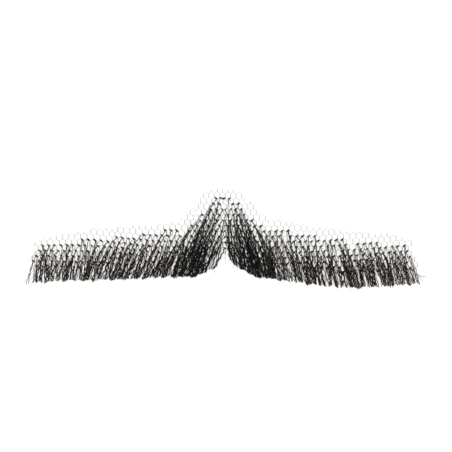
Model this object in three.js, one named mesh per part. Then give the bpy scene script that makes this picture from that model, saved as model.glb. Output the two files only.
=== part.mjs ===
// A hand-tied false moustache lying on its back: a strip of hexagonal net that sticks to the
// upper lip, with hair tied to it in two courses on each side of a parting. The net's margin
// shows above the hair, and the hair is trimmed to a line below the net's hem.
// Millimetres. X runs along the moustache, Y up the face towards the nose, Z away from the skin.
// The origin is on the net's underside, at the parting, half way up the moustache.

import * as THREE from "three";
import { mergeVertices } from "three/addons/utils/BufferGeometryUtils.js";

// Driving sizes
const LEFT_REACH = 57.0; // parting to the last knot on the left
const RIGHT_REACH = 54.6; // parting to the last knot on the right
const HEIGHT = 30.2; // lowest hair tip to the net's top edge at the parting
const NET_THICKNESS = 1.0;
const END_MARGIN = 1.2; // bare net past the last knot at each end
const LEFT_FLARE = 0.3; // how far the hem's left corner lies outward of the top one
const RIGHT_FLARE = 2.4; // how far the hem's right corner lies outward of the top one
const NET_PITCH = 1.845; // from one mesh of the net to the next along a row
const NET_RIB = 0.4; // net left between two holes
const EDGE_RIB = 0.3; // least net left between a hole and the cut edge
const CLEARANCE = 0.3; // between any two layers
const UNDER_LOFT = 1.15; // thickness of the under course at its fullest
const OVER_LOFT = 1.2; // thickness of the over course at its fullest
const LOCK_WIDTH = 1.95; // one lock of hair, across its root
const RIDGE = 0.3; // how far a lock's crest stands above the valley beside it
const PARTING = 0.6; // bare gap between the two sides at the parting
const RAGGED = 0.55; // how far each course's tips stray to its side of the trimmed line
const HAIR_ROOT = 0.35; // thickness of a lock where it leaves its knots

// The outline, as seen from the front. along is a share of the side's reach, counted from the
// parting. top, knots, hem and tips are heights above the lowest tip, and sweep is how far the
// tips lie outward of their knots, all as shares of HEIGHT.
const LEFT_OUTLINE = [
  { along: 0.0, top: 1.0, knots: 0.89, hem: 0.37, tips: 0.3, sweep: 0.0 },
  { along: 0.03, top: 1.0, knots: 0.89, hem: 0.35, tips: 0.21, sweep: 0.08 },
  { along: 0.07, top: 0.99, knots: 0.87, hem: 0.32, tips: 0.14, sweep: 0.15 },
  { along: 0.11, top: 0.96, knots: 0.77, hem: 0.29, tips: 0.115, sweep: 0.16 },
  { along: 0.155, top: 0.85, knots: 0.67, hem: 0.26, tips: 0.11, sweep: 0.15 },
  { along: 0.2, top: 0.75, knots: 0.6, hem: 0.245, tips: 0.11, sweep: 0.14 },
  { along: 0.24, top: 0.69, knots: 0.56, hem: 0.235, tips: 0.11, sweep: 0.13 },
  { along: 0.34, top: 0.64, knots: 0.53, hem: 0.225, tips: 0.105, sweep: 0.13 },
  { along: 0.55, top: 0.62, knots: 0.49, hem: 0.215, tips: 0.085, sweep: 0.12 },
  { along: 0.74, top: 0.58, knots: 0.46, hem: 0.205, tips: 0.08, sweep: 0.09 },
  { along: 0.89, top: 0.53, knots: 0.42, hem: 0.195, tips: 0.065, sweep: 0.08 },
  { along: 0.97, top: 0.48, knots: 0.4, hem: 0.19, tips: 0.06, sweep: 0.09 },
  { along: 1.0, top: 0.45, knots: 0.36, hem: 0.19, tips: 0.055, sweep: 0.1 },
];
const RIGHT_OUTLINE = [
  { along: 0.0, top: 1.0, knots: 0.89, hem: 0.37, tips: 0.3, sweep: 0.0 },
  { along: 0.03, top: 0.99, knots: 0.88, hem: 0.35, tips: 0.2, sweep: 0.08 },
  { along: 0.06, top: 0.98, knots: 0.86, hem: 0.33, tips: 0.15, sweep: 0.13 },
  { along: 0.1, top: 0.91, knots: 0.78, hem: 0.3, tips: 0.115, sweep: 0.15 },
  { along: 0.145, top: 0.84, knots: 0.7, hem: 0.265, tips: 0.1, sweep: 0.16 },
  { along: 0.19, top: 0.76, knots: 0.63, hem: 0.245, tips: 0.085, sweep: 0.16 },
  { along: 0.24, top: 0.7, knots: 0.6, hem: 0.225, tips: 0.07, sweep: 0.15 },
  { along: 0.34, top: 0.66, knots: 0.54, hem: 0.205, tips: 0.045, sweep: 0.13 },
  { along: 0.47, top: 0.62, knots: 0.49, hem: 0.175, tips: 0.02, sweep: 0.12 },
  { along: 0.64, top: 0.58, knots: 0.45, hem: 0.145, tips: 0.0, sweep: 0.12 },
  { along: 0.81, top: 0.55, knots: 0.41, hem: 0.145, tips: 0.01, sweep: 0.12 },
  { along: 0.95, top: 0.52, knots: 0.4, hem: 0.155, tips: 0.03, sweep: 0.11 },
  { along: 1.0, top: 0.47, knots: 0.39, hem: 0.155, tips: 0.03, sweep: 0.1 },
];

// How the courses lie on each other. stage runs from 0 at the first knots, through 1 just past
// the net's hem, to 2 at the tips. rest is the share of the net's thickness, with its clearance,
// that the hair still stands on. under and over are each course's thickness as a share of its
// loft, and width is a lock's width as a share of its place in the row.
const LAY = [
  { stage: 0.0, rest: 1.0, under: 0.0, over: 0.0, width: 1.0 },
  { stage: 0.2, rest: 1.0, under: 0.0, over: 0.45, width: 1.0 },
  { stage: 0.4, rest: 1.0, under: 0.0, over: 0.75, width: 1.0 },
  { stage: 0.65, rest: 1.0, under: 0.7, over: 1.0, width: 1.0 },
  { stage: 1.0, rest: 1.0, under: 1.0, over: 0.95, width: 1.0 },
  { stage: 1.5, rest: 0.45, under: 0.9, over: 0.85, width: 0.92 },
  { stage: 2.0, rest: 0.0, under: 0.6, over: 0.6, width: 0.66 },
];
const UNDER_STARTS = LAY[2].stage; // where the under course's first knots lie
const SLIT_STARTS = LAY[4].stage; // where locks part from their neighbours
const CREST_SHARE = 0.44; // width of a lock's flat crest, as a share of the lock
const LOCK_VARIETY = 0.16; // how far the line between two locks strays, as a share of a lock
const GOLDEN_ANGLE = Math.PI * (3 - Math.sqrt(5)); // spreads small differences evenly
const NET_STEPS = 26; // steps in the net's outline along each side

const SIDES = {
  left: { sign: -1, reach: LEFT_REACH, flare: LEFT_FLARE, outline: LEFT_OUTLINE },
  right: { sign: 1, reach: RIGHT_REACH, flare: RIGHT_FLARE, outline: RIGHT_OUTLINE },
};

const hairMaterial = new THREE.MeshStandardMaterial({ color: 0x15130f, roughness: 0.45 });
const underHairMaterial = new THREE.MeshStandardMaterial({ color: 0x1c1814, roughness: 0.55 });
const netMaterial = new THREE.MeshStandardMaterial({ color: 0xdedbd0, roughness: 0.8 });

// A smooth curve through one column of a table, read at any value of the key column.
function column(table, key, name) {
  const x = table.map((row) => row[key]);
  const y = table.map((row) => row[name]);
  const slope = y.map((_, i) => {
    const a = Math.max(i - 1, 0);
    const b = Math.min(i + 1, y.length - 1);
    return (y[b] - y[a]) / (x[b] - x[a]);
  });
  return (at) => {
    let i = 0;
    while (i < x.length - 2 && at > x[i + 1]) i += 1;
    const width = x[i + 1] - x[i];
    const s = THREE.MathUtils.clamp((at - x[i]) / width, 0, 1);
    const rise = s * s * (3 - 2 * s);
    const ease = s * (1 - s) * (1 - s) * slope[i] - s * s * (1 - s) * slope[i + 1];
    return y[i] + (y[i + 1] - y[i]) * rise + width * ease;
  };
}

// The heights of one side's lines above the origin, and the outward sweep of its tips.
function linesOf({ outline }) {
  const height = (name) => {
    const share = column(outline, "along", name);
    return (along) => (share(along) - 1 / 2) * HEIGHT;
  };
  const sweep = column(outline, "along", "sweep");
  return {
    top: height("top"),
    knots: height("knots"),
    hem: height("hem"),
    tips: height("tips"),
    sweep: (along) => sweep(along) * HEIGHT,
  };
}

// How far outward hair that was tied at the knots' line has drifted where it reaches height y.
function drift(lines, along, y) {
  const fall = (lines.knots(along) - y) / (lines.knots(along) - lines.tips(along));
  return lines.sweep(along) * fall;
}

// How far out the net's top edge or hem runs on one side.
function netReach(side, name) {
  return side.reach + END_MARGIN + (name === "hem" ? side.flare : 0);
}

// The net's outline: along the top from the left end to the right end, and back along the hem.
function netOutline() {
  const points = [];
  const edge = (side, name, share) => {
    const x = side.sign * share * netReach(side, name);
    points.push(new THREE.Vector2(x, linesOf(side)[name](share)));
  };
  const { left, right } = SIDES;
  for (let i = NET_STEPS; i > 0; i -= 1) edge(left, "top", i / NET_STEPS);
  for (let i = 0; i <= NET_STEPS; i += 1) edge(right, "top", i / NET_STEPS);
  for (let i = NET_STEPS; i > 0; i -= 1) edge(right, "hem", i / NET_STEPS);
  for (let i = 0; i <= NET_STEPS; i += 1) edge(left, "hem", i / NET_STEPS);
  return points;
}

function distanceToEdge(point, outline) {
  const nearest = new THREE.Vector3();
  const segment = new THREE.Line3();
  const at = new THREE.Vector3(point.x, point.y, 0);
  return Math.min(
    ...outline.map((from, i) => {
      const to = outline[(i + 1) % outline.length];
      segment.start.set(from.x, from.y, 0);
      segment.end.set(to.x, to.y, 0);
      return segment.closestPointToPoint(at, true, nearest).distanceTo(at);
    }),
  );
}

function isInside(point, outline) {
  let inside = false;
  outline.forEach((a, i) => {
    const b = outline[(i + 1) % outline.length];
    const crosses = a.y > point.y !== b.y > point.y;
    if (crosses && point.x < ((b.x - a.x) * (point.y - a.y)) / (b.y - a.y) + a.x) {
      inside = !inside;
    }
  });
  return inside;
}

// The net's six-sided holes, in rows that are offset by half a mesh, in the bare margin only.
function netHoles(outline) {
  const rowPitch = (NET_PITCH * Math.sqrt(3)) / 2;
  const holeRadius = (NET_PITCH - NET_RIB) / Math.sqrt(3);
  const rows = Math.ceil(HEIGHT / rowPitch / 2);
  const columns = Math.ceil(Math.max(LEFT_REACH, RIGHT_REACH) / NET_PITCH) + 1;
  const sideLines = { left: linesOf(SIDES.left), right: linesOf(SIDES.right) };
  const holes = [];
  for (let row = -rows; row <= rows; row += 1) {
    for (let col = -columns; col <= columns; col += 1) {
      const x = (col + (row % 2 === 0 ? 0 : 1 / 2)) * NET_PITCH;
      const y = row * rowPitch;
      const name = x < 0 ? "left" : "right";
      const along = Math.min(Math.abs(x) / SIDES[name].reach, 1);
      if (y < sideLines[name].knots(along)) continue;
      const corners = [0, 1, 2, 3, 4, 5].map((k) => {
        const angle = Math.PI / 6 + (k * Math.PI) / 3;
        return new THREE.Vector2(
          x + holeRadius * Math.cos(angle),
          y + holeRadius * Math.sin(angle),
        );
      });
      const clear = corners.every(
        (c) => isInside(c, outline) && distanceToEdge(c, outline) >= EDGE_RIB,
      );
      if (clear) holes.push(new THREE.Path(corners));
    }
  }
  return holes;
}

function netBase() {
  const outline = netOutline();
  const shape = new THREE.Shape(outline);
  shape.holes = netHoles(outline);
  const solid = new THREE.ExtrudeGeometry(shape, { depth: NET_THICKNESS, bevelEnabled: false });
  return new THREE.Mesh(solid, netMaterial);
}

// A point on the front at a share of the side's reach and a stage of the hair's fall. The fall
// runs from the knots to the net's hem at stage 1, and on to the tips at stage 2.
function fallPoint(side, lines, share, stage, tipShift) {
  const along = THREE.MathUtils.clamp(share, 0, 1);
  const rootX = PARTING / 2 + share * (side.reach - PARTING / 2);
  const hemX = rootX + drift(lines, along, lines.hem(along));
  const knots = lines.knots(along);
  const hem = lines.hem(hemX / netReach(side, "hem")) - CLEARANCE;
  const tips = lines.tips(along) - tipShift;
  const y =
    stage <= 1
      ? THREE.MathUtils.lerp(knots, hem, stage)
      : THREE.MathUtils.lerp(hem, tips, stage - 1);
  return { x: side.sign * (rootX + drift(lines, along, y)), y };
}

// The ring of points round one lock at one stage of its fall, from its lower inner corner over
// the crest to its lower outer corner. inner and outer are the shares of the reach it spans.
function lockRing(side, lines, course, stage, inner, outer, tipShift) {
  const middle = (inner + outer) / 2;
  const half = ((outer - inner) / 2) * course.width(stage);
  const crestHalf = half * CREST_SHARE;
  const low = course.low(stage);
  const high = course.high(stage);
  const valley = high - RIDGE * course.fullness(stage);
  const corners = [
    [middle - half, low],
    [middle - half, valley],
    [middle - crestHalf, high],
    [middle + crestHalf, high],
    [middle + half, valley],
    [middle + half, low],
  ];
  return corners.map(([share, z]) => {
    const { x, y } = fallPoint(side, lines, share, stage, tipShift);
    return new THREE.Vector3(x, y, z);
  });
}

// The lines between one course's locks, as shares of the reach, from the parting outward.
function lockLines(side, course) {
  const places = Math.max(2, Math.round(side.reach / LOCK_WIDTH));
  const shares = [0];
  for (let place = 1 - course.offset; place < places; place += 1) {
    const stray = LOCK_VARIETY * Math.sin(place * GOLDEN_ANGLE);
    shares.push((place + stray) / places);
  }
  shares.push(1);
  return shares;
}

// Collects triangles, turned over on the left side, which mirrors the right.
class Faces {
  constructor(sign) {
    this.sign = sign;
    this.positions = [];
  }

  triangle(a, b, c) {
    const ordered = this.sign > 0 ? [a, b, c] : [a, c, b];
    ordered.forEach((p) => this.positions.push(p.x, p.y, p.z));
  }

  quad(a, b, c, d) {
    this.triangle(a, b, c);
    this.triangle(a, c, d);
  }

  geometry() {
    const loose = new THREE.BufferGeometry();
    loose.setAttribute("position", new THREE.Float32BufferAttribute(this.positions, 3));
    const merged = mergeVertices(loose);
    merged.computeVertexNormals();
    return merged;
  }
}

// The skin of one lock between two of its rings. Its flanks are there only where it is free.
function lockStretch(faces, near, far, innerFlank, outerFlank) {
  const last = near.length - 1;
  for (let k = 1; k < last - 1; k += 1) {
    faces.quad(near[k], far[k], far[k + 1], near[k + 1]);
  }
  faces.quad(near[last], far[last], far[0], near[0]);
  if (innerFlank) faces.quad(near[0], far[0], far[1], near[1]);
  if (outerFlank) faces.quad(near[last - 1], far[last - 1], far[last], near[last]);
}

function lockEnds(faces, root, tip) {
  for (let k = 1; k < root.length - 1; k += 1) {
    faces.triangle(root[0], root[k], root[k + 1]);
    faces.triangle(tip[0], tip[k + 1], tip[k]);
  }
}

// Locks side by side, joined from their knots to the hem and free from there to their tips.
function comb(side, course) {
  const lines = linesOf(side);
  const shares = lockLines(side, course);
  const count = shares.length - 1;
  const stages = LAY.map((row) => row.stage).filter((stage) => stage >= course.starts);
  const faces = new Faces(side.sign);
  for (let i = 0; i < count; i += 1) {
    const stray = (1 + Math.sin((i + 1 + course.offset) * GOLDEN_ANGLE)) / 2;
    const tipShift = RAGGED * (stray - course.shortness);
    const rings = stages.map((stage) =>
      lockRing(side, lines, course, stage, shares[i], shares[i + 1], tipShift),
    );
    for (let r = 0; r < rings.length - 1; r += 1) {
      const free = stages[r + 1] > SLIT_STARTS;
      lockStretch(faces, rings[r], rings[r + 1], free || i === 0, free || i === count - 1);
    }
    lockEnds(faces, rings[0], rings[rings.length - 1]);
  }
  return faces.geometry();
}

// The two courses. low and high are a course's underside and crest above the skin at a stage.
function courses() {
  const rest = column(LAY, "stage", "rest");
  const width = column(LAY, "stage", "width");
  const underShare = column(LAY, "stage", "under");
  const overShare = column(LAY, "stage", "over");
  const standing = (stage) => rest(stage) * (NET_THICKNESS + CLEARANCE);
  const thickness = (share, loft) => HAIR_ROOT + share * (loft - HAIR_ROOT);
  const underHigh = (stage) => standing(stage) + thickness(underShare(stage), UNDER_LOFT);
  const overLow = (stage) =>
    stage < UNDER_STARTS ? standing(stage) : underHigh(stage) + CLEARANCE;
  return {
    under: {
      starts: UNDER_STARTS,
      offset: 1 / 2,
      shortness: 1,
      width,
      fullness: underShare,
      low: standing,
      high: underHigh,
    },
    over: {
      starts: 0,
      offset: 0,
      shortness: 0,
      width,
      fullness: overShare,
      low: overLow,
      high: (stage) => overLow(stage) + thickness(overShare(stage), OVER_LOFT),
    },
  };
}

const moustache = new THREE.Group();

const net = netBase();
net.name = "net_base";
moustache.add(net);

const { under, over } = courses();
for (const [name, side] of Object.entries(SIDES)) {
  const underHair = new THREE.Mesh(comb(side, under), underHairMaterial);
  underHair.name = `${name}_under_hair`;
  const overHair = new THREE.Mesh(comb(side, over), hairMaterial);
  overHair.name = `${name}_over_hair`;
  moustache.add(underHair, overHair);
}

export default moustache;
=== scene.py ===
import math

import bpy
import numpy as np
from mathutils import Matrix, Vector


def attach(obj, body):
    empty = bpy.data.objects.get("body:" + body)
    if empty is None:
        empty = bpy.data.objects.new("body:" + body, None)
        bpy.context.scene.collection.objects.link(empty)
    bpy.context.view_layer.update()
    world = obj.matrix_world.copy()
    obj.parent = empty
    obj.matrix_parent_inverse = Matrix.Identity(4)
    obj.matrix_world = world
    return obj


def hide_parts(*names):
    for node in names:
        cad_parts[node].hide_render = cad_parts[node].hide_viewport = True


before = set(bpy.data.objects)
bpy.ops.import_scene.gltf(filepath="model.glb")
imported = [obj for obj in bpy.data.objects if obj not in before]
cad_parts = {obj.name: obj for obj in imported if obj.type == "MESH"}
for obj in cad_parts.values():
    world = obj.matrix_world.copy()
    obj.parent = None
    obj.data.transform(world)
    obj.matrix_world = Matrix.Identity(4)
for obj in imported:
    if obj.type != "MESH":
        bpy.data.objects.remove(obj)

# A hand-tied false moustache, lying net down on a pale floor and seen from straight above.
# Lengths are millimetres until a mesh is made, and the frame's own axes are kept: X along
# the moustache, Y towards the nose, Z off the skin. Outlines are read from the frame.
# A span is a lowest and a highest value, and unless it says more it is a share of the usual
# size that single things may have.

MM = 0.001
TINY = 1e-6
UP = (0.0, 0.0, 1.0)
FULL_TURN = 2 * math.pi
SEED = 19
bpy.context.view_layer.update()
rng = np.random.default_rng(SEED)

# Reading the frame's outlines
NET_STEP = 0.2  # between the places where the net's outline is read
NET_INSET = 0.05  # how far inside the net's ends they start
NET_SMOOTH = 0.4  # over what width the teeth of its border are smoothed
HAIR_STEP = 0.15
HAIR_START = 0.35  # how far from the middle the hair's outlines start
HAIR_INSET = 0.1
KNOTS_SMOOTH = 0.6
TIPS_SMOOTH = 1.0

# The net
NET_PITCH = 1.845  # from one mesh to the next along a row
ROW_PITCH = NET_PITCH * math.sqrt(3) / 2
NET_COLUMNS = range(-40, 41)  # enough meshes to cover the frame's net
NET_ROWS = range(-9, 12)
CORNER_DIGITS = 3  # decimals by which corners that meshes share are told
THREAD = 0.072  # radius of a slanting thread at its thickest, beside a crossing
THREAD_WAIST = 0.058  # its radius half way along
THREAD_BOW = 0.035  # how far it bows, as a share of its length
THREAD_POINTS = 6
THREAD_SIDES = 5
TWIST_THREAD = 0.07  # radius of one of the two threads of an upright
TWIST_REACH = 0.062  # how far each lies from the upright's middle
TWIST_TURNS = 1.3
TWIST_PAST = 0.04  # how far they run past the crossings, as a share of the upright's length
TWIST_POINTS = 9
CROSSING_STRAY = 0.035  # how far the crossings stray from their places
SNIP_SPAN = (0.1, 0.6)  # how much of a thread is cut off at the border
TOP_SNIP = 0.3  # how far below the frame's edge the net's own last threads end
NET_LOW = 0.22  # height of the net's free edge over the floor
NET_HIGH = 0.72  # height of the net where hair is tied to it
NET_LIFTS = (-3.5, 2.5)  # how far below the first knots it starts and ends rising
CENTRE_WIDTH = 13.0  # half width of the stretch that is pulled narrow at the parting
CENTRE_SQUEEZE = 0.12  # how much narrower the meshes are there
CENTRE_STRETCH = 0.045  # how much taller they are there
CREST_SHIFT = 0.4  # how far the crest is pulled to the left
CREST_SHIFTS = (10.0, 14.0)  # the heights between which that sets in

# How uneven the net is along each axis: by how much, over what length, and its own seed
UNEVEN = {
    "x": {"size": 0.16, "reach": 16, "seed": 11},
    "y": {"size": 0.14, "reach": 18, "seed": 12},
    "z": {"size": 0.05, "reach": 7, "seed": 13},
}
UNEVEN_WAVES = 4
UNEVEN_SPAN = (0.7, 1.6)
UNEVEN_PEAK = 2.5  # about the highest sum of that many waves

# How far the net's rows lie above their even places, at some places along the moustache
NET_RISE = (
    (-56.0, 0.0), (-42.0, 0.0), (-32.0, -0.85), (-23.0, -1.85), (-11.0, -2.2), (0.0, -2.45),
    (13.0, -2.3), (22.0, -2.1), (34.0, -1.7), (40.0, -1.2), (47.0, -0.9), (54.0, -0.3),
)
RISE_REACH = 62.0  # how far from the middle that is worked out
RISE_STEP = 0.5
RISE_SMOOTH = 6.0

# The knots
KNOT_SPAN = (0.4, 0.6)  # where along its thread a knot may sit
BARE_SHARE = 0.03  # share of the threads among the hair that hold no knot
KNOT_LINE_ROUGHNESS = 0.15  # how unevenly high the first knots start
ABOVE_KNOTS = 0.85  # how far over the frame's line of first knots a knot may be
CREST_HEIGHT = (2.0, 5.0)  # the heights between which the crest's slopes begin
STEEPNESS = (0.05, 0.45)  # between which rises of that line it becomes a slope
SLOPE_REACH = 0.8  # how far to each side its rise is measured
KNOT_RADIUS = 0.125  # radius of the hair wound in a knot
KNOT_REACH = 0.19  # from a knot's axis to the middle of the hair wound on it
KNOT_TURNS = 4.2
KNOT_LENGTH = 1.0
KNOT_POINTS = 31
KNOT_SIDES = 5
TURNS_SPAN = (0.8, 1.2)
SIZE_SPAN = (0.8, 1.25)
EVEN_SPAN = (0.85, 1.15)  # of a knot's length, and of the thickness of any hair
COIL_ENDS = 0.7  # how wide a knot is at its ends, as a share of its middle
COIL_THIN = 0.6  # how thick its hair is there
SMALL_KNOTS = 0.3  # how much smaller the knots are beside the parting
SMALL_REACH = 1.5  # how far from it they are
SMALL_BELOW = (10.0, 8.0)  # the heights between which they become small
TAIL_LENGTH = 0.9  # how far a knot's cut tail sticks out
TAIL_SPAN = (0.5, 1.2)
TAIL_SWING = 0.9  # how unevenly the tails turn, in radians
TAIL_RISE = (-0.1, 0.5)  # how steeply a tail may rise
TAIL_DROOP = (0.0, -0.25, -0.2)  # how far its end droops
TAIL_TAPER = 0.2  # how much thinner it is there
TAIL_POINTS = 6

# How much higher the first knots start, at some places where one more row begins or ends
ROW_ENDS = (
    (-20.6, 0.0), (-19.8, 0.9), (-15.6, 0.9), (-14.8, 0.0), (2.8, 0.0), (3.6, 1.2),
    (5.6, 1.2), (6.6, 0.0), (8.4, 0.0), (9.4, 0.7), (11.4, 0.7), (12.4, -0.7),
    (17.0, -0.7), (18.0, 0.0), (42.2, 0.0), (43.0, 0.9), (45.4, 0.9), (46.4, 0.0),
)

# The parting
PARTING_AT = -0.25  # where the knots of the two sides meet
PARTING_SWAY = 0.3
PARTING_TURN = 1.9  # how fast it sways with height, in radians
PARTING_PHASE = 0.6
PARTING_BEND = 1.0  # how far further left they meet at the crest
PARTING_BENDS = (8.5, 11.5)  # the heights between which that sets in
PARTING_GAP = 1.1  # how far from the parting its own hair ends
GAP_SPAN = (0.4, 1.6)
PARTING_SPREAD = 14.0  # how much more the lowest hair leans beside the parting, in degrees
PARTING_REACH = 2.5  # how far from the parting it does
SPREAD_PILE = (0.5, 0.1)  # the shares of the pile's height between which that sets in

# The hair
HAIR_RADIUS = 0.076
FINE_RADIUS = 0.045  # radius of the fine, paler hairs
HAIR_SIDES = 4
LOOSE_SIDES = 5
STRAND_POINTS = 40
TIP_TAPER = 0.05  # how much thinner a hair is at its cut end
TUFT_HAIRS = 1.9
HAIRS_UNEVEN = 0.6
LOW_SHARE = 1.95  # how much hair the lowest knots hold for the highest knots' one
COURSE_AT = 0.5  # the share of the pile's height where the upper course begins
TUFT_SPREAD = 0.2  # how far along its thread from a knot's middle a tuft may leave
HAIR_SPREAD = 0.15  # how far from its tuft's middle a hair may leave

# Its lean, in degrees
KNOT_SWING = 3.5  # how unevenly the knots' hair leans
TUFT_SWING = 7.0  # how far apart the tufts of one knot lean
HAIR_SWING = 0.6  # how far apart the hairs of one tuft lean
STRAY_SWING = 5.0  # how much more those lean that leave their tuft
ARCH_SWING = 17.0  # how unevenly tufts leave their knots
CURL = 5.0  # how much tufts turn from end to end
HAIR_CURL = 1.5  # how much every hair does by itself
STRAY_CURL = 12.0  # how much more those do that leave their tuft

# Its bends
ARCH_REACH = 1.7  # over what length the bend at a knot fades
ARCH_PILE = (0.6, 1.0)  # the shares of the pile's height between which arch sets in
ASTRAY = 0.1  # share of hairs that leave their tuft
STRAY_ARCH = 2  # how many times their lean they bend at the knot
SLACK = 0.03  # share of hairs that leave their knot in a wide bow
SLACK_TOP = 0.8  # the share of the pile's height that such hairs keep to
SLACK_TURN = (0.3, 1.1)  # the middle and the spread of that bow, in radians
CURL_FROM = 0.4  # the share of a hair's length where its curl passes its lean
WAVE = 0.28  # how much every tuft sways from side to side, in radians
WAVE_LENGTH = 2.3
CRIMP = 0.16  # how much every hair sways by itself, in radians
CRIMP_LENGTH = 1.6
CRIMP_SPAN = (0.4, 1.5)
LENGTH_SPAN = (0.75, 1.35)  # of the lengths of waves and crimps
LOOSE_LIFT = 0.6  # how far a hair that has sprung out rises over its knot
LOOSE_BELOW = 0.5  # how far below its knot it bends at least

# Its ends
STRAY_REACH = 0.8  # how far past the frame's hair a tip may be
TRIM_ROUGHNESS = 0.08  # how far the tips of a tuft stray from the trimmed line
LENGTH_ROUGHNESS = 0.12  # how unevenly long its hairs are
START_ROUGHNESS = 0.08  # how unevenly the search for a hair's length starts
TRIM_STEPS = 4  # how many steps it takes
TRIM_CHANGE = (0.6, 1.6)  # how many times longer a step may make a hair
LEAST_DROP = 0.3  # how far a hair is taken to reach down at least
SHORTEST = 1.2
SHORT_SHARE = 0.09  # share of hairs that end before the trimmed line
SHORT_FROM = 3.0  # how long such a hair is at least before its cut
SHORT_CUT = (0.05, 0.5)  # how much of it is cut off
CLUMPS = 60
CLUMP_GAPS = (1.3, 2.8)  # between the places where tips gather along the trimmed line
CLUMP_PULL = 0.07  # how much of its way to such a place a tip goes
CLUMP_UNEVEN = 0.15
CLUMP_MOST = 0.9
GATHERED = 0.7  # the share of its length where a hair has gathered

# Its height
TOP_LOFT = 2.2  # how far the uppermost strands arch over their chord
LOW_LOFT = 0.55  # how far the lowest strands do
LOFT_SPAN = (0.7, 1.15)
LOFT_UNEVEN = 0.06
LOFT_SKEW = 0.85  # below one, so that the arch is highest nearer to the knot
TOP_TIP = 1.75  # height of the uppermost strands' tips
LOW_TIP = 0.08
TIP_SPAN = (0.5, 1.15)
START_SPAN = (0.4, 1.2)  # of the height over its thread at which a hair leaves its knot
FLOOR_GAP = 0.01

# How the hair leans, in degrees outward of straight down. out is the share of the way from
# the parting to the side's end, lean is the whole strand's, arch is how much more it leans
# where it leaves one of the highest knots, tufts is how many tufts a knot's hair parts into,
# and trim is how far below the frame's hair the trimmed line lies.
LEFT_LIE = (
    {"out": 0.00, "lean": 17, "arch": 12, "tufts": 0.96, "trim": 0.6},
    {"out": 0.04, "lean": 20, "arch": 26, "tufts": 1.28, "trim": 0.6},
    {"out": 0.10, "lean": 18, "arch": 22, "tufts": 1.44, "trim": 0.85},
    {"out": 0.20, "lean": 19, "arch": 8, "tufts": 1.53, "trim": -0.05},
    {"out": 0.30, "lean": 21, "arch": 4, "tufts": 1.36, "trim": -0.1},
    {"out": 0.40, "lean": 18, "arch": 4, "tufts": 1.60, "trim": 0.1},
    {"out": 0.50, "lean": 21, "arch": 2, "tufts": 1.60, "trim": 0.05},
    {"out": 0.62, "lean": 17, "arch": 2, "tufts": 1.32, "trim": -0.05},
    {"out": 0.67, "lean": 9, "arch": 0, "tufts": 1.68, "trim": 0.1},
    {"out": 0.74, "lean": 9, "arch": 0, "tufts": 1.78, "trim": 0.1},
    {"out": 0.83, "lean": 9, "arch": -2, "tufts": 1.38, "trim": -0.15},
    {"out": 0.90, "lean": 5, "arch": -4, "tufts": 1.52, "trim": 0.05},
    {"out": 0.96, "lean": 13, "arch": -6, "tufts": 1.95, "trim": 0.15},
    {"out": 1.00, "lean": 22, "arch": -4, "tufts": 2.2, "trim": 0.1},
)
RIGHT_LIE = (
    {"out": 0.00, "lean": 6, "arch": 35, "tufts": 1.08, "trim": 0.3},
    {"out": 0.03, "lean": 8, "arch": 22, "tufts": 1.3, "trim": 0.0},
    {"out": 0.07, "lean": 11, "arch": 0, "tufts": 1.55, "trim": 0.1},
    {"out": 0.11, "lean": 15, "arch": -8, "tufts": 1.8, "trim": 0.75},
    {"out": 0.16, "lean": 15, "arch": -10, "tufts": 1.56, "trim": 0.3},
    {"out": 0.22, "lean": 10, "arch": -4, "tufts": 1.55, "trim": 0.1},
    {"out": 0.30, "lean": 10, "arch": 0, "tufts": 1.34, "trim": -0.1},
    {"out": 0.40, "lean": 11, "arch": 2, "tufts": 1.08, "trim": -0.3},
    {"out": 0.48, "lean": 6, "arch": 4, "tufts": 1.52, "trim": -0.2},
    {"out": 0.56, "lean": 12, "arch": 6, "tufts": 1.78, "trim": -0.1},
    {"out": 0.78, "lean": 15, "arch": 6, "tufts": 1.92, "trim": -0.3},
    {"out": 0.92, "lean": 15, "arch": 6, "tufts": 2.15, "trim": -0.35},
    {"out": 1.00, "lean": 14, "arch": 4, "tufts": 2.25, "trim": -0.35},
)

# Single hairs that have sprung out of the rest: each leaves a knot near its bend and ends at end
LEFT_LOOSE = (
    {"bend": (-57.6, -4.6), "end": (-59.5, -7.3)},
    {"bend": (-58.0, -7.4), "end": (-59.6, -11.6)},
    {"bend": (-58.6, -11.0), "end": (-61.0, -13.9)},
    {"bend": (-57.0, -11.5), "end": (-59.4, -13.3)},
    {"bend": (-0.2, -4.4), "end": (-0.3, -7.9)},
    {"bend": (-0.9, -3.6), "end": (-2.2, -6.6)},
    {"bend": (-3.9, -8.6), "end": (-3.2, -10.9)},
    {"bend": (-6.3, -9.4), "end": (-5.9, -11.0)},
)
RIGHT_LOOSE = (
    {"bend": (57.3, -12.0), "end": (59.8, -11.8), "radius": HAIR_RADIUS},
    {"bend": (57.3, -10.4), "end": (59.1, -13.4)},
    {"bend": (56.8, -11.8), "end": (58.1, -14.4)},
    {"bend": (0.7, -3.4), "end": (1.9, -6.9)},
    {"bend": (1.4, -5.2), "end": (0.9, -7.2)},
    {"bend": (2.4, -7.4), "end": (3.5, -9.7)},
    {"bend": (2.0, -6.4), "end": (2.2, -9.3)},
    {"bend": (36.6, -13.2), "end": (37.4, -16.2)},
)

# threads is the kind that knots sit on, and slope_drop is how much of ABOVE_KNOTS is lost on
# the crest's slopes.
SIDES = {
    "left": {
        "sign": -1, "threads": "falling", "slope_drop": 1.1, "lie": LEFT_LIE, "loose": LEFT_LOOSE,
    },
    "right": {
        "sign": 1, "threads": "rising", "slope_drop": 2.0, "lie": RIGHT_LIE, "loose": RIGHT_LOOSE,
    },
}

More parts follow.
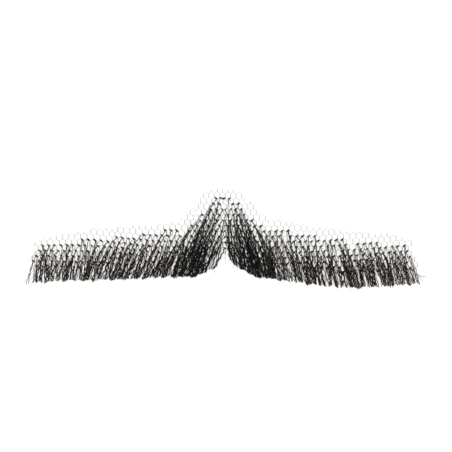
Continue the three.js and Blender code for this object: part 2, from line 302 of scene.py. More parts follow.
# The looks of the hair. The size of a noise is how many blotches fill a metre.
HAIR_KINDS = {
    "hair_black": {
        "dark": (0.001, 0.001, 0.001), "mid": (0.0024, 0.0024, 0.0024),
        "light": (0.0085, 0.0081, 0.0079), "roughness": 0.4, "gloss_level": 0.15,
    },
    "hair_dark": {
        "dark": (0.002, 0.0019, 0.0018), "mid": (0.0048, 0.0045, 0.0043),
        "light": (0.017, 0.0155, 0.0145), "roughness": 0.44, "gloss_level": 0.2,
    },
    "hair_brown": {
        "dark": (0.012, 0.0072, 0.005), "mid": (0.031, 0.0195, 0.0135),
        "light": (0.078, 0.05, 0.035), "roughness": 0.5, "gloss_level": 0.25,
    },
    "hair_fine": {
        "dark": (0.038, 0.024, 0.016), "mid": (0.092, 0.062, 0.043),
        "light": (0.18, 0.13, 0.092), "roughness": 0.5, "gloss_level": 0.25,
    },
}
BLACK, DARK, BROWN, FINE = range(len(HAIR_KINDS))
BLACK_SHARE = 0.62  # share of black among the hairs that aren't brown
BROWN_SHARE = 0.24  # share of brown hairs far from the parting
BROWN_FROM = (0.14, 0.4)  # between which shares of the way out that share rises
FINE_SHARE = 0.14
END_FINE_SHARE = 0.3  # how much larger that share is at a side's very end
END_FROM = 0.86  # the share of the way out where it begins to grow
HAIR_BLOTCHES = 900
HAIR_STOPS = (0.3, 0.55, 0.78)
HAIR_SCALES = 14000
HAIR_BUMP = 0.15
ROUGHER = (-0.1, 0.14)  # how far the roughness goes below and above its usual value
# Painted highlights: where a fine noise peaks, the hair's base colour is lightened to stand in for
# glints of light.
GLINTS = 2600
GLINT_FROM = 0.65  # how strong the noise is where hair begins to glint
GLINT_WIDTH = 0.12  # how much stronger it is where hair glints fully
PAINTED_GLINT_COLOUR = (0.062, 0.057, 0.053)

# The looks of the net and the floor
NET_DARK = (0.38, 0.37, 0.33)
NET_MID = (0.45, 0.44, 0.4)
NET_LIGHT = (0.52, 0.51, 0.47)
NET_ROUGHNESS = 0.55
NET_BLOTCHES = 500
NET_FIBRES = 18000
NET_BUMP = 0.3
BUMP_DEPTH = 0.01 * MM
FINE_DETAIL = 3
MOTTLE_STOPS = (0.3, 0.7)
FLOOR_DARK = (0.245, 0.264, 0.308)
FLOOR_MID = (0.25, 0.269, 0.313)
FLOOR_LIGHT = (0.255, 0.274, 0.318)
FLOOR_ROUGHNESS = 0.8
FLOOR_GRAIN = 60
FLOOR_GLOW = (1.0, 0.975, 0.915)
FLOOR_GLOW_STRENGTH = 0.74
FLOOR_REACH = 6.0  # from its middle to its edges, in metres

# Light and camera. Places and sizes of lights are in metres.
LIGHTS = (
    {"name": "key", "place": (-0.5, 0.5, 0.9), "size": 0.7, "power": 5},
    {"name": "fill", "place": (0.7, -0.3, 0.8), "size": 0.8, "power": 2},
)
PHOTO_PIXELS = 452  # along each side of the photograph
PIXEL = 0.30  # the size of one at the moustache
PHOTO_WIDTH = PHOTO_PIXELS * PIXEL
SCALE_HEIGHT = 1.0  # the height over the floor at which that size is right
LENS = 120.0
SENSOR = 36.0
LOOK_AT = (-0.09, 3.375)  # the photograph's middle, from the origin

HAIR_SHARES = np.linspace(0, 1, STRAND_POINTS)[None, :]  # of its length, at a hair's points


def read(table, out, name):
    """One column of a table of lie, at any share of the way out."""
    return np.interp(out, [row["out"] for row in table], [row[name] for row in table])


def smooth(low, high, value):
    """A value's share of the way from low to high, eased at both ends."""
    share = np.clip((value - low) / (high - low), 0, 1)
    return share * share * (3 - 2 * share)


def swelling(ends, share):
    """One in the middle of a length, and less at both its ends."""
    return ends + (1 - ends) * np.sin(math.pi * share)


# Outlines from the frame

def edges_of(*nodes):
    """Both ends of every edge of some nodes, seen from above, in millimetres."""
    found = []
    for name in nodes:
        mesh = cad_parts[name].data
        points = np.array([v.co[:2] for v in mesh.vertices]) / MM
        found.append(points[np.array([e.vertices[:] for e in mesh.edges])])
    return np.concatenate(found)


def extent(edges, x):
    """The lowest and highest Y that the edges reach at each x, or not a number outside."""
    a = edges[:, 0, :]
    b = edges[:, 1, :]
    x = np.atleast_1d(np.asarray(x, float))[:, None]
    wide = np.abs(b[:, 0] - a[:, 0]) > TINY
    crosses = ((a[:, 0] <= x) != (b[:, 0] <= x)) & wide
    share = (x - a[:, 0]) / np.where(wide, b[:, 0] - a[:, 0], 1)
    y = a[:, 1] + share * (b[:, 1] - a[:, 1])
    low = np.where(crosses, y, np.inf).min(axis=1)
    high = np.where(crosses, y, -np.inf).max(axis=1)
    return np.where(np.isfinite(low), low, np.nan), np.where(np.isfinite(high), high, np.nan)


def curve(x, y, width):
    """y over x with its gaps filled and its teeth smoothed over a width."""
    known = np.isfinite(y)
    y = np.interp(x, x[known], y[known])
    reach = int(round(width / (x[1] - x[0]) / 2))
    padded = np.pad(y, reach, mode="edge")
    kernel = np.ones(2 * reach + 1) / (2 * reach + 1)
    smoothed = np.convolve(padded, kernel, mode="valid")
    return lambda at: np.interp(at, x, smoothed)


net_edges = edges_of("net_base")
net_start = net_edges[:, :, 0].min() + NET_INSET
net_end = net_edges[:, :, 0].max() - NET_INSET
stations = np.arange(net_start, net_end, NET_STEP)
hem_y, top_y = extent(net_edges, stations)
net_hem = curve(stations, hem_y, NET_SMOOTH)
net_top = curve(stations, top_y, NET_SMOOTH)


class Side:
    """One side of the moustache: where its knots begin and where its hair is trimmed."""

    def __init__(self, name, sign, threads, slope_drop, lie, loose):
        self.name = name
        self.sign = sign
        self.threads = threads
        self.slope_drop = slope_drop
        self.lie = lie
        self.loose = loose
        over = edges_of(f"{name}_over_hair")
        both = edges_of(f"{name}_over_hair", f"{name}_under_hair")
        self.reach = np.abs(both[:, :, 0]).max()
        x = np.sort(sign * np.arange(HAIR_START, self.reach - HAIR_INSET, HAIR_STEP))
        self.knots = curve(x, extent(over, x)[1], KNOTS_SMOOTH)
        self.lowest = curve(x, extent(both, x)[0], TIPS_SMOOTH)

    def out(self, x):
        """The share of the way from the parting to the side's end."""
        return np.clip(self.sign * x / self.reach, 0, 1)

    def column(self, name, x):
        return read(self.lie, self.out(x), name)

    def tips(self, x):
        """The height of the trimmed line."""
        return self.lowest(x) - self.column("trim", x)


sides = {name: Side(name, **facts) for name, facts in SIDES.items()}


def first_knots(x):
    """The height of the frame's line of first knots, on either side."""
    return np.where(x < 0, sides["left"].knots(x), sides["right"].knots(x))


# Making meshes

def tubes(paths, radii, sides_round, reference):
    """Closed tubes with flat ends round many paths of equally many points."""
    count, length, _ = paths.shape
    tangent = np.gradient(paths, axis=1)
    tangent /= np.linalg.norm(tangent, axis=2, keepdims=True)
    across = np.cross(tangent, np.broadcast_to(reference, paths.shape))
    across /= np.linalg.norm(across, axis=2, keepdims=True)
    up = np.cross(across, tangent)
    angle = FULL_TURN * np.arange(sides_round) / sides_round
    ring = np.cos(angle)[:, None] * across[:, :, None, :]
    ring = ring + np.sin(angle)[:, None] * up[:, :, None, :]
    points = paths[:, :, None, :] + radii[:, :, None, None] * ring
    start = (np.arange(count) * length * sides_round)[:, None, None]
    row = (np.arange(length - 1) * sides_round)[None, :, None]
    here = np.arange(sides_round)[None, None, :]
    after = (here + 1) % sides_round
    near = start + row
    far = near + sides_round
    quads = np.stack([near + here, near + after, far + after, far + here], axis=-1)
    first = start[:, :, 0] + np.arange(sides_round)[::-1]
    last = start[:, :, 0] + (length - 1) * sides_round + np.arange(sides_round)
    return points.reshape(-1, 3), quads.reshape(count, -1, 4), first, last


def add_tubes(name, groups, materials):
    """One mesh of many tubes. A group is (paths, radii, sides round, material numbers, reference)."""
    vertices = []
    faces = []
    slots = []
    offset = 0
    for paths, radii, sides_round, numbers, reference in groups:
        points, quads, first, last = tubes(paths, radii, sides_round, reference)
        vertices.append(points)
        faces += (quads.reshape(-1, 4) + offset).tolist()
        slots += np.repeat(numbers, quads.shape[1]).tolist()
        faces += (first + offset).tolist() + (last + offset).tolist()
        slots += list(numbers) + list(numbers)
        offset += len(points)
    mesh = bpy.data.meshes.new(name)
    mesh.from_pydata((np.concatenate(vertices) * MM).tolist(), [], faces)
    for made in materials:
        mesh.materials.append(made)
    mesh.polygons.foreach_set("material_index", slots)
    mesh.polygons.foreach_set("use_smooth", [True] * len(faces))
    mesh.update()
    piece = bpy.data.objects.new(name, mesh)
    bpy.context.scene.collection.objects.link(piece)
    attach(piece, "root")
    return piece


# Materials

# Places of a Mix node's sockets for colours: its factor, its two colours and its result
MIX_FACTOR = 0
MIX_FIRST = 6
MIX_OTHER = 7
MIX_RESULT = 2


def material(name, base, roughness):
    """A plain material, its node tree and its shader."""
    made = bpy.data.materials.new(name)
    made.use_nodes = True
    shader = made.node_tree.nodes["Principled BSDF"]
    shader.inputs["Base Color"].default_value = (*base, 1)
    shader.inputs["Roughness"].default_value = roughness
    return made, made.node_tree, shader


def noise(tree, scale, detail=2):
    """Noise fixed to the object, with its size given by how many blotches fill a metre."""
    coordinates = tree.nodes.new("ShaderNodeTexCoord")
    texture = tree.nodes.new("ShaderNodeTexNoise")
    texture.inputs["Scale"].default_value = scale
    texture.inputs["Detail"].default_value = detail
    tree.links.new(coordinates.outputs["Object"], texture.inputs["Vector"])
    return texture.outputs["Fac"]


def ramp(tree, source, places, colours):
    """Colours blended by a value, each at its own place."""
    made = tree.nodes.new("ShaderNodeValToRGB")
    elements = made.color_ramp.elements
    for element, end in ((elements[0], 0), (elements[1], -1)):
        element.position = places[end]
        element.color = (*colours[end], 1)
    for place, colour in zip(places[1:-1], colours[1:-1]):
        elements.new(place).color = (*colour, 1)
    tree.links.new(source, made.inputs["Fac"])
    return made.outputs["Color"]


def mottle(tree, shader, scale, dark, light):
    """Blotches of two tones."""
    toned = ramp(tree, noise(tree, scale), MOTTLE_STOPS, (dark, light))
    tree.links.new(toned, shader.inputs["Base Color"])


def roughen(tree, shader, source, strength):
    """A finely bumpy skin."""
    bump = tree.nodes.new("ShaderNodeBump")
    bump.inputs["Strength"].default_value = strength
    bump.inputs["Distance"].default_value = BUMP_DEPTH
    tree.links.new(source, bump.inputs["Height"])
    tree.links.new(bump.outputs["Normal"], shader.inputs["Normal"])


def add_painted_glints(tree, toned):
    """A tone with short painted glints, lighter colour standing in for highlights, added to it."""
    painted_glint_share = tree.nodes.new("ShaderNodeMapRange")
    painted_glint_share.inputs["From Min"].default_value = GLINT_FROM
    painted_glint_share.inputs["From Max"].default_value = GLINT_FROM + GLINT_WIDTH
    tree.links.new(noise(tree, GLINTS, 1), painted_glint_share.inputs["Value"])
    mix = tree.nodes.new("ShaderNodeMix")
    mix.data_type = "RGBA"
    mix.blend_type = "ADD"
    mix.inputs[MIX_OTHER].default_value = (*PAINTED_GLINT_COLOUR, 1)
    tree.links.new(painted_glint_share.outputs["Result"], mix.inputs[MIX_FACTOR])
    tree.links.new(toned, mix.inputs[MIX_FIRST])
    return mix.outputs[MIX_RESULT]


def hair_material(name, dark, mid, light, roughness, gloss_level):
    """Dyed hair: blotches of tone along the strands, short painted glints in its base colour, and a
    finely bumpy skin.
    """
    made, tree, shader = material(name, mid, roughness)
    shader.inputs["Specular IOR Level"].default_value = gloss_level
    toned = ramp(tree, noise(tree, HAIR_BLOTCHES), HAIR_STOPS, (dark, mid, light))
    tree.links.new(add_painted_glints(tree, toned), shader.inputs["Base Color"])
    scales = noise(tree, HAIR_SCALES, FINE_DETAIL)
    gloss = tree.nodes.new("ShaderNodeMapRange")
    gloss.inputs["To Min"].default_value = roughness + ROUGHER[0]
    gloss.inputs["To Max"].default_value = roughness + ROUGHER[1]
    tree.links.new(scales, gloss.inputs["Value"])
    tree.links.new(gloss.outputs["Result"], shader.inputs["Roughness"])
    roughen(tree, shader, scales, HAIR_BUMP)
    return made


def net_material():
    """Pale nylon thread, with soiled and clean stretches and fine fibres."""
    made, tree, shader = material("net_thread", NET_MID, NET_ROUGHNESS)
    mottle(tree, shader, NET_BLOTCHES, NET_DARK, NET_LIGHT)
    roughen(tree, shader, noise(tree, NET_FIBRES, FINE_DETAIL), NET_BUMP)
    return made


def floor_material():
    """Pale paper with a faint grain and a glow of its own."""
    made, tree, shader = material("floor_paper", FLOOR_MID, FLOOR_ROUGHNESS)
    mottle(tree, shader, FLOOR_GRAIN, FLOOR_DARK, FLOOR_LIGHT)
    shader.inputs["Emission Color"].default_value = (*FLOOR_GLOW, 1)
    shader.inputs["Emission Strength"].default_value = FLOOR_GLOW_STRENGTH
    return made


hair_materials = [hair_material(name, **facts) for name, facts in HAIR_KINDS.items()]
net_thread = net_material()


def hair_kinds(out):
    """The material number of each hair, from how far out it lies."""
    draw = rng.random(len(out))
    brown = BROWN_SHARE * smooth(*BROWN_FROM, out)
    dyed = np.where(draw < BLACK_SHARE * (1 - brown), BLACK, DARK)
    return np.where(draw < 1 - brown, dyed, BROWN)


# The net

def uneven(axis, x, y):
    """Gentle unevenness along one axis, from a few crossing waves."""
    facts = UNEVEN[axis]
    spread = np.random.default_rng(facts["seed"])
    total = np.zeros(np.broadcast(x, y).shape)
    for _ in range(UNEVEN_WAVES):
        angle = spread.uniform(0, FULL_TURN)
        length = facts["reach"] * spread.uniform(*UNEVEN_SPAN)
        phase = spread.uniform(0, FULL_TURN)
        total += np.sin((x * math.cos(angle) + y * math.sin(angle)) * FULL_TURN / length + phase)
    return facts["size"] * (total / UNEVEN_PEAK)


def net_place(points):
    """Where a point of the flat, even net really lies, as pulled about by the hair."""
    x, y = points[:, 0], points[:, 1]
    centre = np.exp(-((x / CENTRE_WIDTH) ** 2))
    moved_x = x - CENTRE_SQUEEZE * CENTRE_WIDTH * np.tanh(x / CENTRE_WIDTH)
    moved_x = moved_x - CREST_SHIFT * centre * smooth(*CREST_SHIFTS, y) + uneven("x", x, y)
    places = np.arange(-RISE_REACH, RISE_REACH, RISE_STEP)
    rise = curve(places, np.interp(places, *zip(*NET_RISE)), RISE_SMOOTH)
    moved_y = y + rise(moved_x) + CENTRE_STRETCH * centre * np.maximum(y, 0)
    moved_y = moved_y + uneven("y", x, y)
    depth = first_knots(moved_x) - moved_y
    height = NET_LOW + (NET_HIGH - NET_LOW) * smooth(*NET_LIFTS, depth)
    height = height + uneven("z", x, y)
    return np.stack([moved_x, moved_y, height], axis=1)


def honeycomb():
    """The even net's corners, and its edges as corner pairs by kind: upright, falling, rising."""
    corners = {}
    kinds = {"upright": [], "falling": [], "rising": []}
    edge = NET_PITCH / math.sqrt(3)

    def corner(x, y):
        place = (round(x, CORNER_DIGITS), round(y, CORNER_DIGITS))
        return corners.setdefault(place, len(corners))

    for row in NET_ROWS:
        for column in NET_COLUMNS:
            x = (column + (row % 2) / 2) * NET_PITCH
            y = row * ROW_PITCH
            peak = corner(x, y + edge)
            right_high = corner(x + NET_PITCH / 2, y + edge / 2)
            right_low = corner(x + NET_PITCH / 2, y - edge / 2)
            left_high = corner(x - NET_PITCH / 2, y + edge / 2)
            kinds["upright"].append((right_high, right_low))
            kinds["falling"].append((peak, right_high))
            kinds["rising"].append((peak, left_high))
    return np.array(list(corners)), {kind: np.array(pairs) for kind, pairs in kinds.items()}


def inside_net(x, y):
    within = (x > stations[0]) & (x < stations[-1])
    return within & (y < net_top(x) - TOP_SNIP) & (y > net_hem(x))


def cut_net():
    """The net's corners in place, and the edges that are left when it is cut to its outline."""
    flat, kinds = honeycomb()
    placed = net_place(flat)
    placed[:, :2] += rng.normal(0, CROSSING_STRAY, (len(placed), 2))
    kept = {}
    for kind, pairs in kinds.items():
        middle = placed[pairs].mean(axis=1)
        kept[kind] = pairs[inside_net(middle[:, 0], middle[:, 1])]
    return placed, kept


def trimmed(placed, kept):
    """Both ends of each edge, with the loose ends at the net's cut border snipped back."""
    uses = np.bincount(np.concatenate([p.ravel() for p in kept.values()]), minlength=len(placed))
    ends = {}
    for kind, pairs in kept.items():
        a = placed[pairs[:, 0]]
        b = placed[pairs[:, 1]]
        snip = rng.uniform(*SNIP_SPAN, len(pairs))[:, None]
        loose_a = (uses[pairs[:, 0]] == 1)[:, None]
        loose_b = (uses[pairs[:, 1]] == 1)[:, None]
        a = np.where(loose_a, a + (b - a) * snip, a)
        b = np.where(loose_b, b + (a - b) * snip, b)
        ends[kind] = (a, b)
    return ends


def slanting_threads(ends):
    """Single threads, stout beside the crossings and bowed a little."""
    a = np.concatenate([ends["falling"][0], ends["rising"][0]])
    b = np.concatenate([ends["falling"][1], ends["rising"][1]])
    share = np.linspace(0, 1, THREAD_POINTS)[None, :, None]
    paths = a[:, None, :] * (1 - share) + b[:, None, :] * share
    along = b - a
    across = np.stack([-along[:, 1], along[:, 0], np.zeros(len(a))], axis=1)
    bow = rng.normal(0, THREAD_BOW, (len(a), 1, 1)) * np.sin(math.pi * share)
    paths = paths + across[:, None, :] * bow
    waist = THREAD_WAIST + (THREAD - THREAD_WAIST) * (2 * share[..., 0] - 1) ** 2
    return paths, np.broadcast_to(waist, paths.shape[:2])


def twisted_uprights(ends):
    """Pairs of threads twisted round each other."""
    a, b = ends["upright"]
    share = np.linspace(-TWIST_PAST, 1 + TWIST_PAST, TWIST_POINTS)[None, :, None]
    middle = a[:, None, :] * (1 - share) + b[:, None, :] * share
    start = rng.uniform(0, FULL_TURN, (len(a), 1))
    paths = []
    for half_turn in (0, math.pi):
        angle = start + half_turn + share[..., 0] * TWIST_TURNS * FULL_TURN
        offset = np.stack([np.cos(angle), np.zeros(angle.shape), np.sin(angle)], axis=2)
        paths.append(middle + TWIST_REACH * offset)
    paths = np.concatenate(paths)
    return paths, np.full(paths.shape[:2], TWIST_THREAD)


def make_net(placed, kept):
    ends = trimmed(placed, kept)
    groups = []
    for paths, radii in (slanting_threads(ends), twisted_uprights(ends)):
        groups.append((paths, radii, THREAD_SIDES, np.zeros(len(paths), int), UP))
    piece = add_tubes("net_threads", groups, [net_thread])
    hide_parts("net_base")


# The knots

def parting(y):
    """Where the knots of the two sides meet, at any height."""
    middle = PARTING_AT + PARTING_SWAY * np.sin(y * PARTING_TURN + PARTING_PHASE)
    return middle - PARTING_BEND * smooth(*PARTING_BENDS, y)


def highest_knots(side, x):
    """How high the knots go, which is less on the crest's slopes and more where a row begins."""
    rise = np.abs(side.knots(x + SLOPE_REACH) - side.knots(x - SLOPE_REACH))
    slope = smooth(*STEEPNESS, rise / (2 * SLOPE_REACH)) * smooth(*CREST_HEIGHT, side.knots(x))
    above = ABOVE_KNOTS - side.slope_drop * slope
    above = above + np.interp(x, *zip(*ROW_ENDS))
    return side.knots(x) + above


def find_knots(placed, kept):
    """Where knots are tied on each side, and the direction of the thread that holds each."""
    found = []
    for side in sides.values():
        pairs = kept[side.threads]
        a = placed[pairs[:, 0]]
        b = placed[pairs[:, 1]]
        at = a + (b - a) * rng.uniform(*KNOT_SPAN, (len(a), 1))
        x, y = at[:, 0], at[:, 1]
        own = side.sign * (x - parting(y)) > 0
        high = highest_knots(side, x) + rng.normal(0, KNOT_LINE_ROUGHNESS, len(at))
        drop = y - side.tips(x)
        end = side.sign * x + drop * np.tan(np.radians(side.column("lean", x)))
        held = rng.random(len(at)) > BARE_SHARE
        tied = own & (y < high) & (end < side.reach) & held
        along = (b - a)[tied]
        along /= np.linalg.norm(along, axis=1, keepdims=True)
        found.append({"side": side, "at": at[tied], "along": along})
    return found


def coils(at, along):
    """Hair wound round the thread at each knot: its paths and radii."""
    count = (len(at), 1)
    share = np.linspace(0, 1, KNOT_POINTS)[None, :]
    turns = KNOT_TURNS * rng.uniform(*TURNS_SPAN, count)
    beside = np.exp(-(((at[:, :1] - PARTING_AT) / SMALL_REACH) ** 2))
    small = 1 - SMALL_KNOTS * (beside * smooth(*SMALL_BELOW, at[:, 1:2]))
    size = rng.uniform(*SIZE_SPAN, count) * small
    angle = rng.uniform(0, FULL_TURN, count) + share * turns * FULL_TURN
    across = np.cross(along, UP)
    up = np.cross(across, along)
    reach = KNOT_REACH * size * swelling(COIL_ENDS, share)
    length = KNOT_LENGTH * size * rng.uniform(*EVEN_SPAN, count)
    paths = at[:, None, :] + along[:, None, :] * ((share - 0.5) * length)[..., None]
    paths = paths + across[:, None, :] * (reach * np.cos(angle))[..., None]
    paths = paths + up[:, None, :] * (reach * np.sin(angle))[..., None]
    radii = KNOT_RADIUS * rng.uniform(*EVEN_SPAN, count) * swelling(COIL_THIN, share)
    return paths, radii * small


def tails(at):
    """The short cut end of the hair at each knot: its path and radii."""
    turn = rng.normal(0, TAIL_SWING, len(at))
    toward = np.stack([np.sin(turn), -np.cos(turn), rng.uniform(*TAIL_RISE, len(at))], axis=1)
    share = np.linspace(0, 1, TAIL_POINTS)[None, :, None]
    reach = TAIL_LENGTH * rng.uniform(*TAIL_SPAN, (len(at), 1, 1))
    paths = at[:, None, :] + (0, 0, KNOT_REACH) + toward[:, None, :] * reach * share
    paths = paths + TAIL_DROOP * share**2
    return paths, HAIR_RADIUS * (1 - TAIL_TAPER * np.broadcast_to(share[..., 0], paths.shape[:2]))


def make_knots(found):
    """Short coils of hair, each with its tail."""
    at = np.concatenate([f["at"] for f in found])
    along = np.concatenate([f["along"] for f in found])
    wound, wound_radii = coils(at, along)
    numbers = hair_kinds(np.concatenate([f["side"].out(f["at"][:, 0]) for f in found]))
    ends, end_radii = tails(at)
    reference = np.broadcast_to(along[:, None, :], wound.shape)
    groups = [
        (wound, wound_radii, KNOT_SIDES, numbers, reference),
        (ends, end_radii, KNOT_SIDES, numbers, UP),
    ]
    piece = add_tubes("knots", groups, hair_materials)


# The strands

def heading(angle, sign):
    """The flat direction that leans outward by an angle from straight down."""
    return np.stack([sign * np.sin(angle), -np.cos(angle)], axis=-1)


def pile_share(side, at):
    """How high in the pile of hair each knot is tied, from the net's hem to the first knots."""
    hem = net_hem(at[:, 0])
    return np.clip((at[:, 1] - hem) / (side.knots(at[:, 0]) - hem), 0, 1)


def tuft_lean(side, knots, knot, root, pile):
    """How far each tuft leans outward, in degrees, kept clear of the parting."""
    count = len(knot)
    x = root[:, 0]
    lean = side.column("lean", x)
    lean = lean + rng.normal(0, KNOT_SWING, knots)[knot] + rng.normal(0, TUFT_SWING, count)
    beside = np.exp(-(((x - PARTING_AT) / PARTING_REACH) ** 2))
    lean = lean + PARTING_SPREAD * beside * smooth(*SPREAD_PILE, pile)
    drop = np.maximum(root[:, 1] - side.tips(x), 1)
    clear = PARTING_GAP * rng.uniform(*GAP_SPAN, count) - side.sign * (x - PARTING_AT)
    return np.maximum(lean, np.degrees(np.arctan(clear / drop)))


def tufts(side, at, along):
    """The tufts that each knot's hair parts into, three at most, as a row of facts for each hair."""
    in_knot = np.floor(side.column("tufts", at[:, 0]) + rng.random(len(at))).astype(int)
    knot = np.repeat(np.arange(len(at)), in_knot)
    count = len(knot)
    pile = pile_share(side, at)[knot]
    wanted = TUFT_HAIRS * (LOW_SHARE + (1 - LOW_SHARE) * pile)
    hairs = np.maximum(1, np.round(wanted + rng.normal(0, HAIRS_UNEVEN, count))).astype(int)
    root = at[knot] + along[knot] * rng.uniform(-TUFT_SPREAD, TUFT_SPREAD, (count, 1))
    lean = tuft_lean(side, len(at), knot, root, pile)
    arch = side.column("arch", root[:, 0]) * smooth(*ARCH_PILE, pile)
    arch = arch + rng.normal(0, ARCH_SWING, count)
    facts = {
        "root": root, "along": along[knot], "pile": pile,
        "lean": np.radians(lean), "arch": np.radians(arch),
        "curl": np.radians(rng.normal(0, CURL, count)),
        "ragged": rng.normal(0, TRIM_ROUGHNESS, count),
        "loft": rng.uniform(*LOFT_SPAN, count),
        "phase": rng.uniform(0, FULL_TURN, count),
        "turn": FULL_TURN / (WAVE_LENGTH * rng.uniform(*LENGTH_SPAN, count)),
    }
    tuft = np.repeat(np.arange(count), hairs)
    return {name: values[tuft] for name, values in facts.items()}


def hair_ways(facts):
    """Each hair's root, and a function for its lean at any distance from there."""
    total = len(facts["pile"])
    astray = np.where(rng.random(total) < ASTRAY, 1.0, 0.0)
    slack = np.where(rng.random(total) < SLACK, rng.normal(*SLACK_TURN, total), 0.0)
    slack = slack * (facts["pile"] < SLACK_TOP)
    beside = rng.uniform(-HAIR_SPREAD, HAIR_SPREAD, (total, 1))
    root = facts["root"][:, :2] + facts["along"][:, :2] * beside
    crimp = CRIMP * rng.uniform(*CRIMP_SPAN, total)
    crimp_turn = FULL_TURN / (CRIMP_LENGTH * rng.uniform(*LENGTH_SPAN, total))
    crimp_phase = rng.uniform(0, FULL_TURN, total)
    apart = np.radians(rng.normal(0, HAIR_SWING + astray * STRAY_SWING, total))
    curl = facts["curl"] + np.radians(rng.normal(0, HAIR_CURL + astray * STRAY_CURL, total))
    leaving = facts["arch"] + STRAY_ARCH * astray * apart + slack

    def bend(distance, share):
        fading = leaving[:, None] * np.exp(-distance / ARCH_REACH)
        wave = np.sin(distance * facts["turn"][:, None] + facts["phase"][:, None]) * WAVE
        wave += np.sin(distance * crimp_turn[:, None] + crimp_phase[:, None]) * crimp[:, None]
        return (facts["lean"] + apart)[:, None] + fading + wave + curl[:, None] * (share - CURL_FROM)

    return root, bend


def walk(side, root, bend, length):
    """Flat paths of given lengths from their roots. bend gives the lean at each distance."""
    middle = (HAIR_SHARES[:, 1:] + HAIR_SHARES[:, :-1]) / 2
    steps = heading(bend(middle * length[:, None], middle), side.sign)
    steps = steps * (length / (STRAND_POINTS - 1))[:, None, None]
    paths = np.concatenate([np.zeros((len(root), 1, 2)), np.cumsum(steps, axis=1)], axis=1)
    return paths + root[:, None, :]


def hair_lengths(side, root, bend, ragged):
    """How long each hair is to end on the trimmed line or, for some, before it."""
    total = len(root)
    target = side.tips(root[:, 0]) + ragged + rng.normal(0, START_ROUGHNESS, total)
    length = np.maximum(root[:, 1] - target, SHORTEST)
    for _ in range(TRIM_STEPS):
        end = walk(side, root, bend, length)[:, -1, :]
        wanted = root[:, 1] - (side.tips(end[:, 0]) + ragged)
        reached = np.maximum(root[:, 1] - end[:, 1], LEAST_DROP)
        length = length * np.clip(wanted / reached, *TRIM_CHANGE)
    length = np.maximum(length + rng.normal(0, LENGTH_ROUGHNESS, total), SHORTEST)
    short = (rng.random(total) < SHORT_SHARE) & (length > SHORT_FROM)
    return length * (1 - np.where(short, rng.uniform(*SHORT_CUT, total), 0))


def gathering(side, tip_x):
    """How far each tip goes sideways to gather with its neighbours in a clump."""
    places = side.sign * np.cumsum(rng.uniform(*CLUMP_GAPS, CLUMPS))
    nearest = places[np.abs(tip_x[:, None] - places[None, :]).argmin(axis=1)]
    nearest = np.where(np.abs(nearest - tip_x) < CLUMP_GAPS[1], nearest, tip_x)
    pull = np.clip(rng.normal(CLUMP_PULL, CLUMP_UNEVEN, len(tip_x)), 0, CLUMP_MOST)
    return (nearest - tip_x) * pull


def hair_heights(facts):
    """How high each point of each hair lies, arching from its knot to its tip."""
    pile = facts["pile"]
    total = len(pile)
    loft = (LOW_LOFT + (TOP_LOFT - LOW_LOFT) * pile) * facts["loft"]
    loft = loft + rng.normal(0, LOFT_UNEVEN, total)
    tip_z = (LOW_TIP + (TOP_TIP - LOW_TIP) * pile) * rng.uniform(*TIP_SPAN, total)
    start_z = facts["root"][:, 2:] + KNOT_REACH * rng.uniform(*START_SPAN, (total, 1))
    height = start_z * (1 - HAIR_SHARES) + tip_z[:, None] * HAIR_SHARES
    height = height + loft[:, None] * np.sin(math.pi * HAIR_SHARES**LOFT_SKEW)
    return np.maximum(height, HAIR_RADIUS + FLOOR_GAP)


def strands(side, at, along):
    """Paths of all hairs tied at the knots of one side, and how high in the pile each lies."""
    facts = tufts(side, at, along)
    root, bend = hair_ways(facts)
    length = hair_lengths(side, root, bend, facts["ragged"])
    flat = walk(side, root, bend, length)
    tip_x = flat[:, -1, 0].copy()
    within = side.sign * tip_x < side.reach + STRAY_REACH
    flat[:, :, 0] += gathering(side, tip_x)[:, None] * smooth(0, GATHERED, HAIR_SHARES)
    height = hair_heights(facts)
    return np.concatenate([flat, height[..., None]], axis=2)[within], facts["pile"][within]


def bezier(start, middle, end, count):
    """Smooth paths from start to end, bent towards middle."""
    t = np.linspace(0, 1, count)[None, :, None]
    start, middle, end = (points[:, None, :] for points in (start, middle, end))
    return (1 - t) ** 2 * start + 2 * t * (1 - t) * middle + t**2 * end


def loose_hairs(side, at):
    """The side's hairs that have sprung out, each from the nearest knot well above its bend."""
    bend = np.array([hair["bend"] for hair in side.loose])
    end = np.array([hair["end"] for hair in side.loose])
    away = np.linalg.norm(at[None, :, :2] - bend[:, None, :], axis=2)
    away = np.where(at[None, :, 1] > bend[:, None, 1] + LOOSE_BELOW, away, np.inf)
    root = at[away.argmin(axis=1)] + (0, 0, KNOT_REACH)
    bend = np.column_stack([bend, root[:, 2] + LOOSE_LIFT])
    end = np.column_stack([end, rng.uniform(HAIR_RADIUS, LOOSE_LIFT, len(end))])
    radius = np.array([hair.get("radius", FINE_RADIUS) for hair in side.loose])
    radii = np.repeat(radius[:, None], STRAND_POINTS, axis=1)
    numbers = np.where(radius > FINE_RADIUS, DARK, FINE)
    return bezier(root, bend, end, STRAND_POINTS), radii, LOOSE_SIDES, numbers, UP


def hair_looks(side, paths):
    """The radii and the material number of each hair."""
    out = side.out(paths[:, -1, 0])
    fine_share = FINE_SHARE + END_FINE_SHARE * smooth(END_FROM, 1, out)
    draw = rng.random(len(paths))
    thick = np.where(draw < fine_share, FINE_RADIUS, HAIR_RADIUS)[:, None]
    pale = draw < fine_share * smooth(*BROWN_FROM, out)
    radii = thick * rng.uniform(*EVEN_SPAN, (len(paths), 1)) * (1 - TIP_TAPER * HAIR_SHARES**3)
    return radii, np.where(pale, FINE, hair_kinds(out))


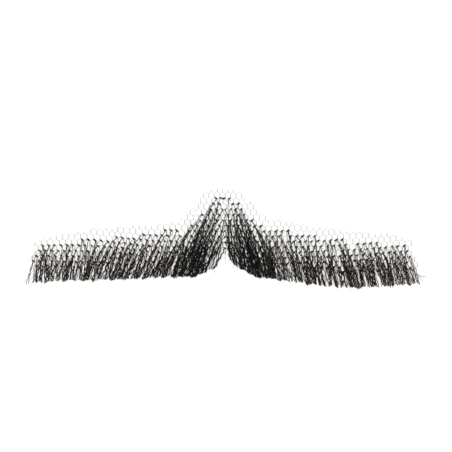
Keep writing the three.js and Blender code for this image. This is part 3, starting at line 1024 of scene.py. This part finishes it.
def make_strands(found):
    """The upper and the lower course of each side, with its sprung hairs in the lower one."""
    for side_knots in found:
        side = side_knots["side"]
        paths, pile = strands(**side_knots)
        radii, numbers = hair_looks(side, paths)
        sprung = loose_hairs(side, side_knots["at"])
        low = pile <= COURSE_AT
        for course, chosen, more in (("under", low, [sprung]), ("over", ~low, [])):
            group = (paths[chosen], radii[chosen], HAIR_SIDES, numbers[chosen], UP)
            piece = add_tubes(f"{side.name}_{course}_strands", [group, *more], hair_materials)
            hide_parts(f"{side.name}_{course}_hair")


placed_corners, kept_edges = cut_net()
make_net(placed_corners, kept_edges)
knots = find_knots(placed_corners, kept_edges)
make_knots(knots)
make_strands(knots)


# The floor, light and camera

def make_floor():
    mesh = bpy.data.meshes.new("floor")
    corners = [(x * FLOOR_REACH, y * FLOOR_REACH, 0) for x, y in ((-1, -1), (1, -1), (1, 1), (-1, 1))]
    mesh.from_pydata(corners, [], [(0, 1, 2, 3)])
    mesh.materials.append(floor_material())
    floor = bpy.data.objects.new("floor", mesh)
    bpy.context.scene.collection.objects.link(floor)


def add_area_light(name, place, size, power):
    """A square light that points at the origin."""
    light = bpy.data.lights.new(name, "AREA")
    light.size = size
    light.energy = power
    lamp = bpy.data.objects.new(name, light)
    lamp.location = place
    lamp.rotation_mode = "QUATERNION"
    lamp.rotation_quaternion = (-Vector(place)).to_track_quat("-Z", "Y")
    bpy.context.scene.collection.objects.link(lamp)


def make_light():
    world = bpy.data.worlds.new("studio")
    world.use_nodes = True
    background = world.node_tree.nodes["Background"]
    background.inputs["Color"].default_value = (1, 1, 1, 1)
    background.inputs["Strength"].default_value = 1.0
    bpy.context.scene.world = world
    for facts in LIGHTS:
        add_area_light(**facts)
    bpy.context.scene.view_settings.view_transform = "Standard"


def make_camera():
    """A camera straight above, as far away as the photograph's width asks."""
    data = bpy.data.cameras.new("camera")
    data.lens = LENS
    data.sensor_width = SENSOR
    camera = bpy.data.objects.new("camera", data)
    distance = PHOTO_WIDTH * LENS / SENSOR
    camera.location = (LOOK_AT[0] * MM, LOOK_AT[1] * MM, (distance + SCALE_HEIGHT) * MM)
    bpy.context.scene.collection.objects.link(camera)
    bpy.context.scene.camera = camera


make_floor()
make_light()
make_camera()
